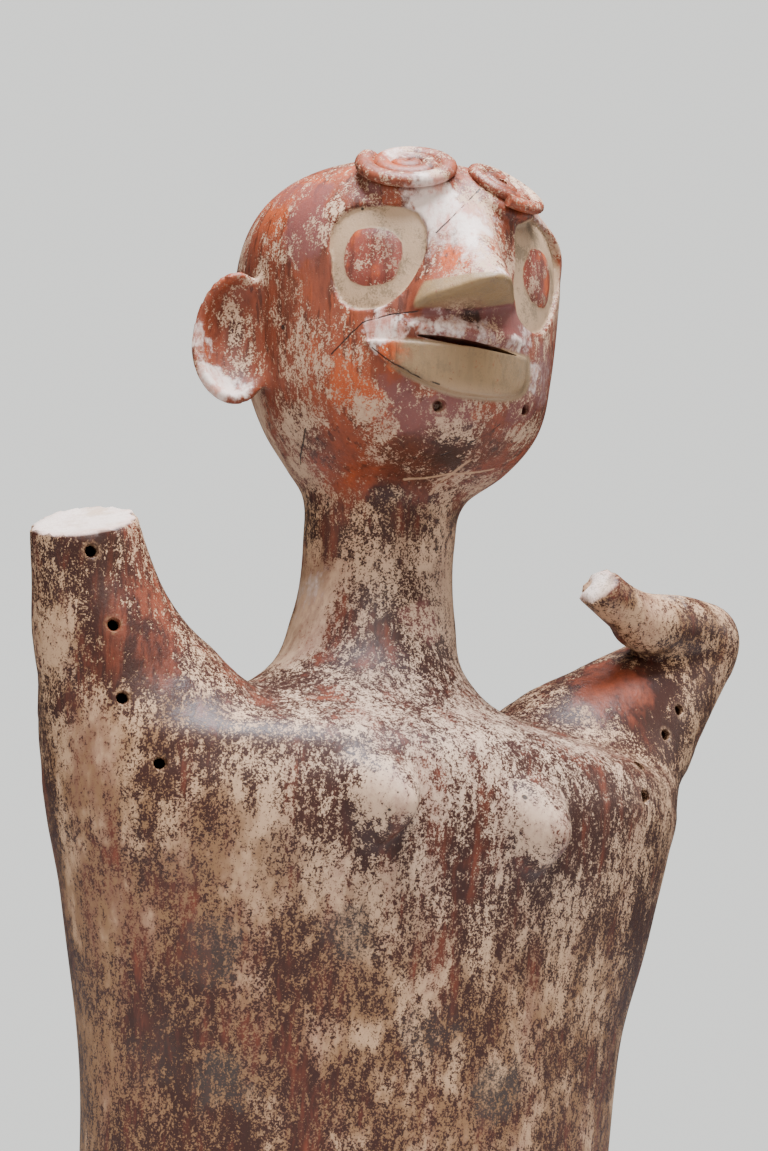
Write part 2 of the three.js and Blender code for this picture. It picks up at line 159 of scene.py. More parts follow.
def bodyField(p):
    skull = vessel["skull"]
    power = skull["fullness"]
    x, y, z = p[:, 0], p[:, 1], p[:, 2]
    low = np.clip(z, 0, skull["base"])
    a, b, forward, left = [np.interp(low, tableHeights, column) for column in tableRows.T]
    onStack = ((z > 0) & (z < skull["base"])).astype(float)
    da, db, dForward, dLeft = [onStack * np.interp(low, tableHeights, column) for column in tableSlopes.T]
    u, v = (x - left) / a, (y + forward) / b
    q = np.sqrt(u * u + v * v) + 1e-6
    over = np.maximum(z - skull["base"], 0) / skull["rise"]
    whole = np.where(over > 0, (q ** power + over ** power) ** (1 / power), q)
    share = np.where(over > 0, (q / whole) ** (power - 1), 1.0)
    gx, gy = share * u / (a * q), share * v / (b * q)
    gz = share * (u * (-dLeft - u * da) / a + v * (dForward - v * db) / b) / q
    gz = gz + (over / whole) ** (power - 1) / skull["rise"]
    return (whole - 1) / np.sqrt(gx * gx + gy * gy + gz * gz)


limbStops = 96


def limbLine(limb):  # points and radii along a limb, by the same curve as the solid's
    points = np.array(limb["path"], float)
    ends = np.vstack([2 * points[0] - points[1], points, 2 * points[-1] - points[-2]])
    places = np.linspace(0, len(points) - 1, limbStops)
    made = []
    for place in places:
        i = min(int(place), len(points) - 2)
        t = place - i
        p0, p1, p2, p3 = ends[i:i + 4]
        d0, d1, d2 = [math.sqrt(np.linalg.norm(v)) for v in (p1 - p0, p2 - p1, p3 - p2)]
        t1 = ((p1 - p0) / d0 - (p2 - p0) / (d0 + d1) + (p2 - p1) / d1) * d1
        t2 = ((p2 - p1) / d1 - (p3 - p1) / (d1 + d2) + (p3 - p2) / d2) * d1
        bend, twist = 3 * (p2 - p1) - 2 * t1 - t2, 2 * (p1 - p2) + t1 + t2
        made.append(p1 + t1 * t + bend * t ** 2 + twist * t ** 3)
    radii = cubicThrough(np.arange(len(points)), limb["radii"], places)[:, 0]
    return np.array(made), radii


def limbField(p, limb, end=1.0, inset=0.0, count=24):
    line, radii = limbLine(limb)
    chosen = np.linspace(0, round((limbStops - 1) * end), count).astype(int)
    line, radii = line[chosen], radii[chosen] - inset
    best = np.full(len(p), np.inf)
    for a, b, ra, rb in zip(line[:-1], line[1:], radii[:-1], radii[1:]):
        along = b - a
        t = np.clip((p - a) @ along / (along @ along), 0, 1)
        gap = np.linalg.norm(p - a - t[:, None] * along, axis=1) - (ra + t * (rb - ra))
        best = np.minimum(best, gap)
    return best


def brokenLimb(p, limb):
    field = limbField(p, limb)
    cut = (p - np.array(limb["path"][-1])) @ unit(limb["breakNormal"])
    x, y, z = p.T
    ragged = np.sin(0.33 * x + 1.0) * np.sin(0.3 * y + 0.2 * z) + 0.5 * np.sin(0.8 * x + 0.6 * y - 0.5 * z)
    return smoothMax(field, cut + limb["ragged"] * ragged, vessel["breakEdge"])


def ellipsoidField(local, radii):
    radii = np.asarray(radii, float)
    k0 = np.linalg.norm(local / radii, axis=1)
    k1 = np.linalg.norm(local / radii ** 2, axis=1) + 1e-9
    return k0 * (k0 - 1) / k1


def skinPoint(bearing, z):
    skull = vessel["skull"]
    angle = math.radians(bearing)
    over = min(max(z - skull["base"], 0) / skull["rise"], 1)
    keep = (1 - over ** skull["fullness"]) ** (1 / skull["fullness"])
    a, b, forward, left = [np.interp(min(z, skull["base"]), tableHeights, c) for c in tableRows.T]
    return np.array([left + a * keep * math.sin(angle), -forward - b * keep * math.cos(angle), z])


def skinFrame(bearing, z, lift=0):  # rows: to the left, up the skin, out of it; and the place
    half = 0.5  # of a degree and of a millimetre
    across = unit(skinPoint(bearing + half, z) - skinPoint(bearing - half, z))
    out = unit(np.cross(across, skinPoint(bearing, z + half) - skinPoint(bearing, z - half)))
    axes = np.array([across, np.cross(out, across), out])
    return axes, skinPoint(bearing, z) + lift * out


def faceTurned(v):  # from the face's own axes to the figure's
    turn = math.radians(vessel["faceTurn"])
    c, s = math.cos(turn), math.sin(turn)
    return np.array([c * v[0] - s * v[1], s * v[0] + c * v[1], v[2]])


def inFace(p):
    return p @ np.array([faceTurned(axis) for axis in np.eye(3)]).T


def noseField(p):
    local = inFace(p)
    bridge, tip, under = [np.array(nose[k], float) for k in ("bridge", "tip", "under")]
    field = (local - tip) @ unit((0, tip[2] - bridge[2], bridge[1] - tip[1]))
    for wing in (nose["nearWing"], nose["farWing"]):
        mirror = np.array([math.copysign(1, wing[0]), 1, 1])
        side = unit(np.cross((tip - bridge) * mirror, wing - bridge * mirror))
        side = side * math.copysign(1, side[0] * wing[0])
        field = smoothMax(field, (local - tip * mirror) @ side, nose["edge"])
    for end in nose["wingEnds"]:
        field = smoothMax(field, (local[:, 0] - end) * math.copysign(1, end), nose["edge"])
    down = unit(np.cross(nose["nearRoot"] - under, nose["farRoot"] - under))
    scoop = nose["scoop"] * np.clip(1 - ((local[:, 0] - nose["scoopAt"]) / nose["scoopHalf"]) ** 2, 0, 1)
    field = smoothMax(field, (local - under) @ down + scoop, nose["edge"] / 2)
    return np.maximum(field, local[:, 1] - nose["back"])


def earField(p, place):
    bearing, out, facing = place
    angle = math.radians(facing)
    opening = np.array([math.sin(angle), -math.cos(angle), 0])
    across = np.cross((0, 0, 1), opening)
    at = skinPoint(bearing, ears["height"]) + np.array([math.copysign(out, bearing), 0, 0])
    local = np.stack([(p - at) @ across, p[:, 2] - at[2], (p - at) @ opening], 1)
    half = ears["rim"] / 2
    middle = np.array([ears["halfWidth"], ears["halfHeight"], ears["depth"]]) - half
    shell = np.abs(ellipsoidField(local, middle)) - half
    wave = 1.2 * np.sin(0.11 * local[:, 1] + 0.6) + 0.6 * np.sin(0.23 * local[:, 0])
    inward = np.maximum(-math.copysign(1, bearing) * local[:, 0], 0)  # the dish runs into the cheek
    return smoothMax(shell, local[:, 2] + wave + ears["intoCheek"] * inward, ears["edge"])


def onSkin(p, bearing, z):  # to the left, up and off the bare head, for forms that follow it
    axes, at = skinFrame(bearing, z)
    return (p - at) @ axes[0], (p - at) @ axes[1], bodyField(p)


def skinLens(p, form):
    u, v, off = onSkin(p, form["bearing"], form["height"])
    return ellipsoidField(np.stack([u, v, off], 1), (form["halfWidth"], form["halfHeight"], form["out"]))


def lowerLipField(p):
    u, v, off = onSkin(p, lowerLip["bearing"], lowerLip["top"])
    across = (u + lowerLip["skew"] * v) / lowerLip["halfWidth"]
    power = np.where(across > 0, lowerLip["leftPower"], lowerLip["rightPower"])
    outline = (np.abs(across) ** power + np.abs(v / lowerLip["drop"]) ** power) ** (1 / power)
    flat = smoothMax((outline - 1) * lowerLip["drop"], v, lowerLip["topEdge"])
    ends = lowerLip["thinner"] * np.abs(u / lowerLip["halfWidth"]) ** 3
    thick = lowerLip["out"] * (1 - ends) + lowerLip["slope"] * v
    return smoothMax(flat, off - thick, lowerLip["edge"])


def eyeSocket(p, place):
    bearing, z, halfWidth, halfHeight, shift = place
    u, v, off = onSkin(p, bearing, z)
    wide = halfWidth * (1 + eyes["topWiden"] * v / halfHeight)
    foot = shift * np.maximum(-v, 0) / halfHeight
    power = eyes["squareness"]
    outline = (np.abs((u - foot) / wide) ** power + np.abs(v / halfHeight) ** power) ** (1 / power)
    apart = (np.abs(u - eyes["pupilShift"]) ** power + np.abs(v) ** power) ** (1 / power) / eyes["pupilHalf"]
    floor = -eyes["depth"] + eyes["pupilRise"] * np.clip(eyes["pupilReach"] - apart ** 3, 0, 1)
    return smoothMax((outline - 1) * halfWidth, floor - off, eyes["floorEdge"])


def breastField(p, axes, at, lean):  # a pinched point, wider above than below
    u, v, off = ((p - at) @ axes.T).T
    reach = off / breasts["rise"]
    narrow = np.clip(1 + breasts["taper"] * v / breasts["halfHeight"], *breasts["taperRange"])
    pinch = np.clip(breasts["foot"] - breasts["pinch"] * reach, *breasts["pinchRange"])
    across, high = (u - lean * reach) / (narrow * pinch), (v + breasts["droop"] * reach) / pinch
    local = np.stack([across, high, off], 1)
    return ellipsoidField(local, (breasts["halfWidth"], breasts["halfHeight"], breasts["rise"]))


def coilFrame(place):  # as skinFrame, leaning back over the crown
    axes, at = skinFrame(*place[:2], coils["lift"])
    lean = math.radians(place[4])
    c, s = math.cos(lean), math.sin(lean)
    return np.array([axes[0], c * axes[1] - s * axes[2], c * axes[2] + s * axes[1]]), at


def coilPad(p, place):  # the flat cake of clay that carries a coil
    axes, at = coilFrame(place)
    reach = place[3] * (coils["outerRadius"] + coils["padOver"])
    sunk = (p - at) @ axes.T + (0, 0, coils["padSunk"])
    return ellipsoidField(sunk, (reach, reach, coils["padDepth"]))


def within(p, low, high):
    return np.flatnonzero(np.all((p > np.array(low)) & (p < np.array(high)), axis=1))


def addTo(field, p, low, high, shape, blend):  # joins a shape to the field inside a box
    near = within(p, low, high)
    if len(near):
        field[near] = smoothMin(field[near], shape(p[near]), blend)


def cutFrom(field, p, low, high, shape, blend):
    near = within(p, low, high)
    if len(near):
        field[near] = smoothMax(field[near], -shape(p[near]), blend)


def around(point, reach):
    return np.asarray(point) - reach, np.asarray(point) + reach


def leftArmField(p):
    field = limbField(p, leftUpperArm)
    ball = np.linalg.norm(p - np.array(elbow["at"]), axis=1) - elbow["radius"]
    field = smoothMin(field, ball, elbow["blend"])
    field = smoothMin(field, limbField(p, leftForearm), leftForearm["blend"])
    return smoothMin(field, brokenLimb(p, leftHand), leftHand["blend"])


def crownBore(p):
    mouth = vessel["crownMouth"]
    across = np.hypot(p[:, 0], p[:, 1] - mouth["back"]) - mouth["radius"]
    return np.maximum(across, mouth["from"] - p[:, 2])


def handWaves(p):  # the slow unevenness of a surface smoothed by hand
    x, y, z = p.T
    return (np.sin(0.045 * x + 0.03 * z + 1.3) * np.sin(0.052 * y - 0.021 * z)
            + 0.6 * np.sin(0.083 * z + 0.04 * x))


def vesselField(p):
    field = bodyField(p)
    addTo(field, p, *rightArm["box"], lambda q: brokenLimb(q, rightArm), rightArm["blend"])
    addTo(field, p, *leftUpperArm["box"], leftArmField, leftUpperArm["blend"])
    for bearing, z, lean in breasts["places"]:
        axes, at = skinFrame(bearing, z)
        box = around(at, breasts["reach"])
        addTo(field, p, *box, lambda q: breastField(q, axes, at, lean), breasts["blend"])
    near = within(p, *nose["box"])
    softness = np.interp(p[near][:, 2], *zip(*nose["blend"]))
    field[near] = smoothMin(field[near], noseField(p[near]), softness)
    for bearing, z, halfWidth, halfHeight, out in swellings["places"]:
        near = within(p, *around(skinPoint(bearing, z), swellings["reach"]))
        u, v, off = onSkin(p[near], bearing, z)
        bulge = np.clip(1 - (u / halfWidth) ** 2 - (v / halfHeight) ** 2, 0, 1) ** 2
        field[near] -= out * bulge * (off > -swellings["depth"])
    mouthBox = ((-90, -140, 460), (60, -20, 545))
    addTo(field, p, *mouthBox, lambda q: skinLens(q, upperLip), upperLip["blend"])
    addTo(field, p, *mouthBox, lowerLipField, lowerLip["blend"])
    for place in ears["places"]:
        box = around(skinPoint(place[0], ears["height"]), ears["reach"])
        addTo(field, p, *box, lambda q: earField(q, place), ears["blend"])
    for place in eyes["places"]:
        box = around(skinPoint(*place[:2]), eyes["reach"])
        cutFrom(field, p, *box, lambda q: eyeSocket(q, place), eyes["edge"])
    for place in coils["places"]:
        box = around(skinPoint(*place[:2]), coils["reach"])
        addTo(field, p, *box, lambda q: coilPad(q, place), coils["padBlend"])
    cutFrom(field, p, *vessel["crownMouth"]["box"], crownBore, vessel["crownMouth"]["lip"])
    field = field + vessel["handUnevenness"] * (1 + 0.6 * handWaves(p))
    return smoothMax(field, -p[:, 2], vessel["footEdge"])


def hollowField(p):
    wall = vessel["wall"]
    field = bodyField(p) + wall["body"]
    for limb in (rightArm, leftUpperArm):
        arm = limbField(p, limb, limb["hollowTo"], wall["arm"], 14)
        field = smoothMin(field, arm, wall["armBlend"])
    return smoothMax(field, wall["floor"] - p[:, 2], wall["floorBlend"])


def surfaceNet(points, values):  # closed quad surface where the values change sign
    inside = values < 0
    shape = np.array(values.shape)
    corners = [np.array((i, j, k)) for i in (0, 1) for j in (0, 1) for k in (0, 1)]
    filled = sum(inside[i:shape[0] - 1 + i, j:shape[1] - 1 + j, k:shape[2] - 1 + k].astype(np.int8)
                 for i, j, k in corners)
    cells = np.argwhere((filled > 0) & (filled < len(corners)))
    total, crossings = np.zeros((len(cells), 3)), np.zeros(len(cells))
    for a in range(len(corners)):
        for b in (a | 1, a | 2, a | 4):
            if b == a:
                continue
            ia, ib = tuple((cells + corners[a]).T), tuple((cells + corners[b]).T)
            va, vb = values[ia], values[ib]
            crosses = (va < 0) != (vb < 0)
            t = np.where(crosses, va / np.where(crosses, va - vb, 1), 0)
            total += crosses[:, None] * (points[ia] + (points[ib] - points[ia]) * t[:, None])
            crossings += crosses
    index = np.full(shape - 1, -1)
    index[tuple(cells.T)] = np.arange(len(cells))
    quads = []
    step, roundEdge = np.eye(3, dtype=int), ((1, 1), (0, 1), (0, 0), (1, 0))
    for axis in range(3):
        b, c = (axis + 1) % 3, (axis + 2) % 3
        low, high = np.moveaxis(inside, axis, 0)[:-1], np.moveaxis(inside, axis, 0)[1:]
        at = np.argwhere(np.moveaxis(low != high, 0, axis))
        ring = np.stack([index[tuple((at - i * step[b] - j * step[c]).T)] for i, j in roundEdge], 1)
        turned = ~inside[tuple(at.T)]
        ring[turned] = ring[turned][:, ::-1]
        quads.append(ring)
    return total / crossings[:, None], np.vstack(quads)


probe, longestStep, leastSlope = 0.4, 1.5, 0.05


def gradient(p, field):
    return np.stack([(field(p + probe * e) - field(p - probe * e)) / (2 * probe) for e in np.eye(3)], 1)


def onSurface(p, field, rounds=2):  # moves points to where the field is zero
    for _ in range(rounds):
        grad = gradient(p, field)
        step = field(p) / np.maximum((grad ** 2).sum(1), leastSlope)
        p = p - np.clip(step, -longestStep, longestStep)[:, None] * grad
    return p


def relaxed(p, quads, field, rounds):
    edges = np.vstack([quads[:, [i, (i + 1) % 4]] for i in range(4)])
    degree = np.bincount(edges[:, 0], minlength=len(p))[:, None]
    for _ in range(rounds):
        mean = np.stack([np.bincount(edges[:, 0], p[edges[:, 1], k], len(p)) for k in range(3)], 1) / degree
        p = onSurface(p + 0.5 * (mean - p), field, rounds=1)
    return p


def headShare(z):  # 0 in the body, 1 in the head
    grid = vessel["grid"]
    return np.clip((z - grid["narrowFrom"]) / (grid["narrowTo"] - grid["narrowFrom"]), 0, 1)


def heightsOfGrid():
    cells = vessel["cells"]
    heights = [-cells["bodyHigh"] * 1.5]
    while heights[-1] < vessel["grid"]["top"]:
        finer = headShare(heights[-1]) * (cells["headHigh"] - cells["bodyHigh"])
        heights.append(heights[-1] + cells["bodyHigh"] + finer)
    return np.array(heights)


def vesselGrid():  # wide cells at the arms, narrow ones at the head
    grid, cells = vessel["grid"], vessel["cells"]
    z = heightsOfGrid()
    t = headShare(z)
    t = t * t * (3 - 2 * t)
    middle = grid["bodyMiddle"] + t * (grid["headMiddle"] - grid["bodyMiddle"])
    half = grid["bodyHalf"] + t * (grid["headHalf"] - grid["bodyHalf"])
    u = np.linspace(-1, 1, cells["across"] + 1)
    y = np.linspace(grid["yFrom"], grid["yTo"], cells["deep"] + 1)
    points = np.empty((len(u), len(y), len(z), 3))
    points[..., 0] = middle + u[:, None, None] * half
    points[..., 1] = y[None, :, None]
    points[..., 2] = z
    return points


def evenGrid(low, high, cell):
    axes = [np.arange(a - cell, b + 2 * cell, cell) for a, b in zip(low, high)]
    return np.stack(np.meshgrid(*axes, indexing="ij"), -1)


def sampled(points, field, parts=12):
    flat = points.reshape(-1, 3)
    values = np.concatenate([field(part) for part in np.array_split(flat, parts)])
    return values.reshape(points.shape[:3])


def linked(name, data):
    obj = bpy.data.objects.new(name, data)
    bpy.context.scene.collection.objects.link(obj)
    return obj


def meshObject(name, p, faces):
    mesh = bpy.data.meshes.new(name)
    mesh.from_pydata((p * mm).tolist(), [], [list(map(int, f)) for f in faces])
    mesh.validate()
    return linked(name, mesh)


def madeObject(name, made):  # from a finished bmesh
    mesh = bpy.data.meshes.new(name)
    made.to_mesh(mesh)
    made.free()
    return linked(name, mesh)


def plainMesh(obj):  # the modifiers' result takes the place of the object's mesh
    evaluated = obj.evaluated_get(bpy.context.evaluated_depsgraph_get())
    mesh = bpy.data.meshes.new_from_object(evaluated)
    obj.modifiers.clear()
    obj.data = mesh


def pointsOf(obj):
    p = np.empty(len(obj.data.vertices) * 3)
    obj.data.vertices.foreach_get("co", p)
    return p.reshape(-1, 3) / mm


def refineFace(obj):  # halves the cells over the face, then lays the new points on the surface
    face = vessel["fineFace"]

    def onFace(c):
        return c.y < face["front"] and abs(c.x) < face["half"] and face["from"] < c.z < face["to"]

    made = bmesh.new()
    made.from_mesh(obj.data)
    edges = {e for f in made.faces if onFace(f.calc_center_median() / mm) for e in f.edges}
    bmesh.ops.subdivide_edges(made, edges=list(edges), cuts=1, use_grid_fill=True)
    made.to_mesh(obj.data)
    made.free()
    p = pointsOf(obj)
    chosen = within(p, *face["box"])
    p[chosen] = onSurface(p[chosen], vesselField)
    obj.data.vertices.foreach_set("co", (p * mm).ravel())
    obj.data.update()


def markFace(obj):  # attributes that are 1 on the bare underside of the nose and on the lower lip
    p = pointsOf(obj)
    masks = {"underNose": np.zeros(len(p)), "lowerLip": np.zeros(len(p))}
    near = within(p, *vessel["markBox"])
    local = inFace(p[near])
    below = np.interp(local[:, 1], *zip(*nose["bareBelow"])) - local[:, 2]
    onNose = np.clip(nose["skin"] - noseField(p[near]), 0, 1)
    onNose = onNose * np.clip((bodyField(p[near]) - nose["clear"]) / nose["fade"], 0, 1)
    masks["underNose"][near] = np.clip(below + 0.5, 0, 1) * onNose
    masks["lowerLip"][near] = np.clip(lowerLip["skin"] - lowerLipField(p[near]), 0, 1)
    for name, values in masks.items():
        obj.data.attributes.new(name, "FLOAT", "POINT").data.foreach_set("value", values)


def holePlaces():
    rough = np.array(firingHoles["places"], float)
    places = onSurface(rough[:, :3], vesselField, rounds=4)
    ways = [unit(unit(out) + firingHoles["forward"]) for out in gradient(places, vesselField)]
    return list(zip(places, ways, rough[:, 3]))


def holeCutters():
    made = bmesh.new()
    c, sides = firingHoles["chamfer"], firingHoles["sides"]
    bearings = [2 * math.pi * j / sides for j in range(sides)]
    for at, out, r in holePlaces():
        profile = [(-firingHoles["inward"], r), (-c, r), (firingHoles["rimOut"], r + c),
                   (firingHoles["outward"], r + c)]
        turn = Vector(out).to_track_quat("Z", "Y").to_matrix()
        rings = []
        for depth, reach in profile:
            ring = [Vector((reach * math.cos(b), reach * math.sin(b), depth)) for b in bearings]
            rings.append([made.verts.new((Vector(at) + turn @ v) * mm) for v in ring])
        for low, high in zip(rings[:-1], rings[1:]):
            for j in range(sides):
                k = (j + 1) % sides
                made.faces.new((low[j], low[k], high[k], high[j]))
        made.faces.new(rings[0][::-1])
        made.faces.new(rings[-1])
    axes, at = skinFrame(mouthSlit["bearing"], mouthSlit["height"])
    place = Matrix(axes.tolist()).transposed().to_4x4()
    place.translation = Vector(at)
    place = place @ Matrix.Rotation(math.radians(mouthSlit["tilt"]), 4, "Z")
    size = Matrix.Diagonal((mouthSlit["halfWidth"], mouthSlit["halfHeight"], mouthSlit["depth"], 1))
    slit = Matrix.Scale(mm, 4) @ place @ size
    bmesh.ops.create_uvsphere(made, u_segments=40, v_segments=20, radius=1, matrix=slit)
    bmesh.ops.recalc_face_normals(made, faces=made.faces)
    return madeObject("cutters", made)


def cutAway(obj, cutters):
    for cutter in cutters:
        cut = obj.modifiers.new("cut", "BOOLEAN")
        cut.operation, cut.solver, cut.object = "DIFFERENCE", "MANIFOLD", cutter
    plainMesh(obj)
    for cutter in cutters:
        bpy.data.objects.remove(cutter)


def buildVessel():
    points = vesselGrid()
    p, quads = surfaceNet(points, sampled(points, vesselField))
    p = relaxed(onSurface(p, vesselField), quads, vesselField, rounds=3)
    p[:, 2] = np.where(p[:, 2] < vessel["footFlat"], 0, p[:, 2])
    obj = meshObject("paintedVessel", p, quads)
    refineFace(obj)
    print("outer skin:", len(obj.data.polygons), "faces")
    inner = evenGrid(*vessel["hollowBox"], vessel["wall"]["cell"])
    q, innerQuads = surfaceNet(inner, sampled(inner, hollowField))
    q = relaxed(onSurface(q, hollowField), innerQuads, hollowField, rounds=2)
    cutters = [meshObject("hollow", q, innerQuads), holeCutters()]
    for index, cutter in enumerate(cutters, 1):  # inside and holes each have a clay of their own: plain clay inside, near-black painted shade in the holes
        cutter.data.polygons.foreach_set("material_index", [index] * len(cutter.data.polygons))
    cutAway(obj, cutters)
    print("hollowed and pierced:", len(obj.data.polygons), "faces")
    obj.data.polygons.foreach_set("use_smooth", [True] * len(obj.data.polygons))
    obj.data.set_sharp_from_angle(angle=math.radians(vessel["sharpAngle"]))
    markFace(obj)
    return obj


vesselPiece = buildVessel()


def coilPoints():  # one point for each coil, with its turn and size as attributes
    frames = [coilFrame(place) for place in coils["places"]]
    obj = meshObject("browCoils", np.array([at for _, at in frames]), [])
    turn = obj.data.attributes.new("turn", "FLOAT_VECTOR", "POINT")
    for item, place, (axes, _) in zip(turn.data, coils["places"], frames):
        facing = Matrix(axes.tolist()).transposed() @ Matrix.Rotation(math.radians(place[2]), 3, "Z")
        item.vector = facing.to_euler()
    size = obj.data.attributes.new("size", "FLOAT", "POINT")
    for item, place in zip(size.data, coils["places"]):
        item.value = place[3]
    return obj


def coilTree(material):  # a rope of clay wound flat, laid on every point
    tree = bpy.data.node_groups.new("woundCoil", "GeometryNodeTree")
    tree.interface.new_socket("Geometry", in_out="INPUT", socket_type="NodeSocketGeometry")
    for name in ("Turns", "Inner Radius", "Outer Radius", "Rope Radius", "Flatten"):
        tree.interface.new_socket(name, in_out="INPUT", socket_type="NodeSocketFloat")
    tree.interface.new_socket("Geometry", in_out="OUTPUT", socket_type="NodeSocketGeometry")
    entry, leave = tree.nodes.new("NodeGroupInput"), tree.nodes.new("NodeGroupOutput")

    def add(kind, settings, inputs):
        made = tree.nodes.new(kind)
        for name, value in settings.items():
            setattr(made, name, value)
        for key, value in inputs.items():
            if isinstance(value, bpy.types.NodeSocket):
                tree.links.new(value, made.inputs[key])
            else:
                made.inputs[key].default_value = value
        return made.outputs

    given = entry.outputs
    spiral = add("GeometryNodeCurveSpiral", {}, {
        "Resolution": coils["stepsInTurn"], "Rotations": given["Turns"],
        "Start Radius": given["Inner Radius"], "End Radius": given["Outer Radius"], "Height": 0.0})
    along = add("GeometryNodeSplineParameter", {}, {})["Factor"]
    taper = add("ShaderNodeMapRange", {"interpolation_type": "SMOOTHSTEP"}, {
        "Value": along, "From Min": 1.0, "From Max": coils["taperFrom"],
        "To Min": coils["taperTo"], "To Max": 1.0})["Result"]
    thick = add("GeometryNodeSetCurveRadius", {}, {"Curve": spiral[0], "Radius": taper})
    ring = add("GeometryNodeCurvePrimitiveCircle", {}, {
        "Resolution": coils["ropeSides"], "Radius": given["Rope Radius"]})
    squash = add("ShaderNodeCombineXYZ", {}, {"X": 1.0, "Y": given["Flatten"], "Z": 1.0})
    oval = add("GeometryNodeTransform", {}, {"Geometry": ring[0], "Scale": squash[0]})
    rope = add("GeometryNodeCurveToMesh", {}, {
        "Curve": thick[0], "Profile Curve": oval[0], "Fill Caps": True})
    turn = add("GeometryNodeInputNamedAttribute", {"data_type": "FLOAT_VECTOR"}, {"Name": "turn"})
    size = add("GeometryNodeInputNamedAttribute", {"data_type": "FLOAT"}, {"Name": "size"})
    placed = add("GeometryNodeInstanceOnPoints", {}, {
        "Points": given["Geometry"], "Instance": rope[0], "Rotation": turn[0], "Scale": size[0]})
    real = add("GeometryNodeRealizeInstances", {}, {"Geometry": placed[0]})
    smooth = add("GeometryNodeSetShadeSmooth", {}, {"Geometry": real[0], "Shade Smooth": True})
    coat = add("GeometryNodeSetMaterial", {}, {"Geometry": smooth[0], "Material": material})
    tree.links.new(coat[0], leave.inputs[0])
    return tree


def buildCoils(material):
    obj = coilPoints()
    layer = obj.modifiers.new("coils", "NODES")
    layer.node_group = coilTree(material)
    given = {"Turns": coils["turns"], "Flatten": coils["flatten"], "Rope Radius": coils["ropeRadius"] * mm,
             "Inner Radius": coils["innerRadius"] * mm, "Outer Radius": coils["outerRadius"] * mm}
    for socket in layer.node_group.interface.items_tree:
        if socket.name in given:
            layer[socket.identifier] = given[socket.name]
    plainMesh(obj)
    print("brow coils:", len(obj.data.polygons), "faces")
    return obj


